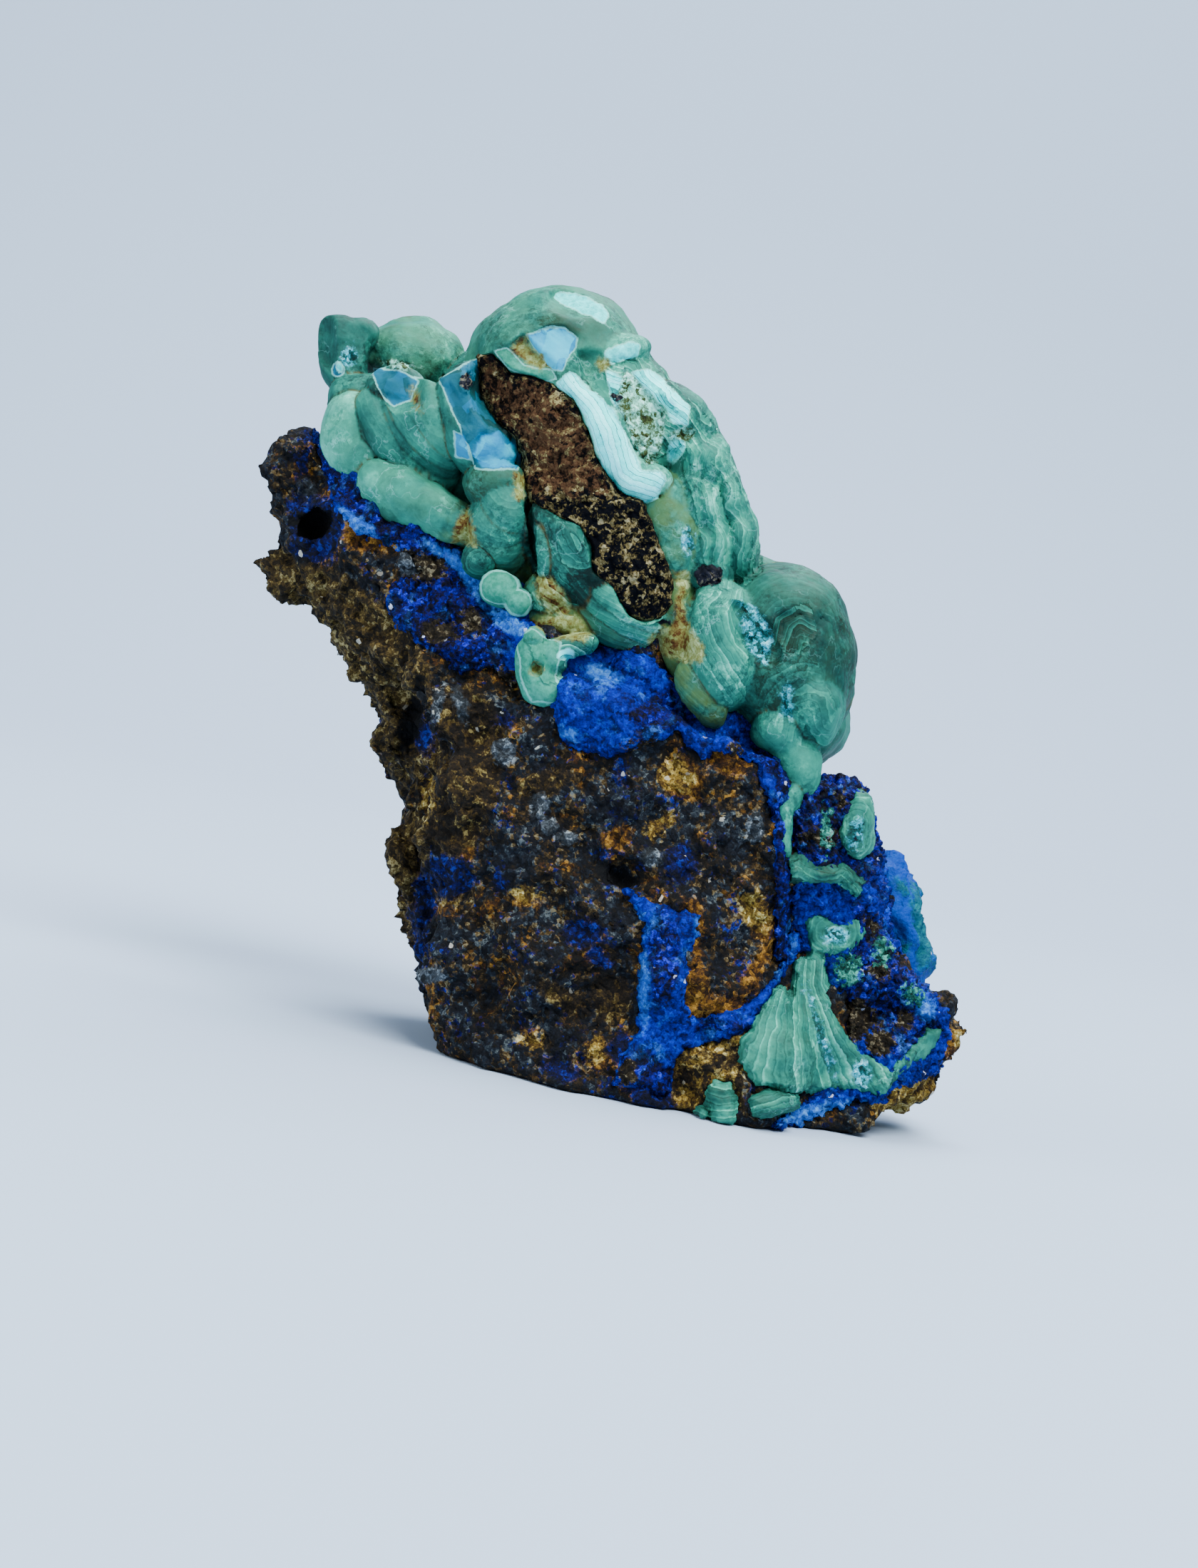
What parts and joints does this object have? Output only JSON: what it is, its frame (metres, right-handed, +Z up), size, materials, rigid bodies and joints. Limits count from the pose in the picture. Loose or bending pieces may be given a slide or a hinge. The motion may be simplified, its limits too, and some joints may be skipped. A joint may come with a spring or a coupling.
{
  "type": "azurite and malachite specimen",
  "caption": "Small display mineral: brown limonite rock with a kidney-shaped malachite cap, azurite crusts and malachite growths, cut flat to stand.",
  "frame": {"origin": "centre of the specimen's footprint box, on its flat base", "axes": "+Z up from the flat base, +X along the specimen's width to the side with the azurite flank, -Y out of the broken front face"},
  "size_m": [0.0241, 0.0133, 0.0228],
  "materials": {
    "limonite_rock": "rough, granular, brown to black with ochre flecks",
    "malachite": "satin, banded pale to deep green",
    "azurite": "fine druse, deep to bright blue, small glints"
  },
  "bodies": {
    "root": {"matrix": "limonite_rock", "malachite_cap": "malachite", "malachite_fan": "malachite", "malachite_ridge": "malachite", "malachite_teardrop": "malachite", "malachite_nodule": "malachite", "azurite_seam": "azurite", "azurite_patch": "azurite", "azurite_vein": "azurite", "azurite_flank": "azurite", "azurite_slab": "azurite"}
  },
  "joints": []
}
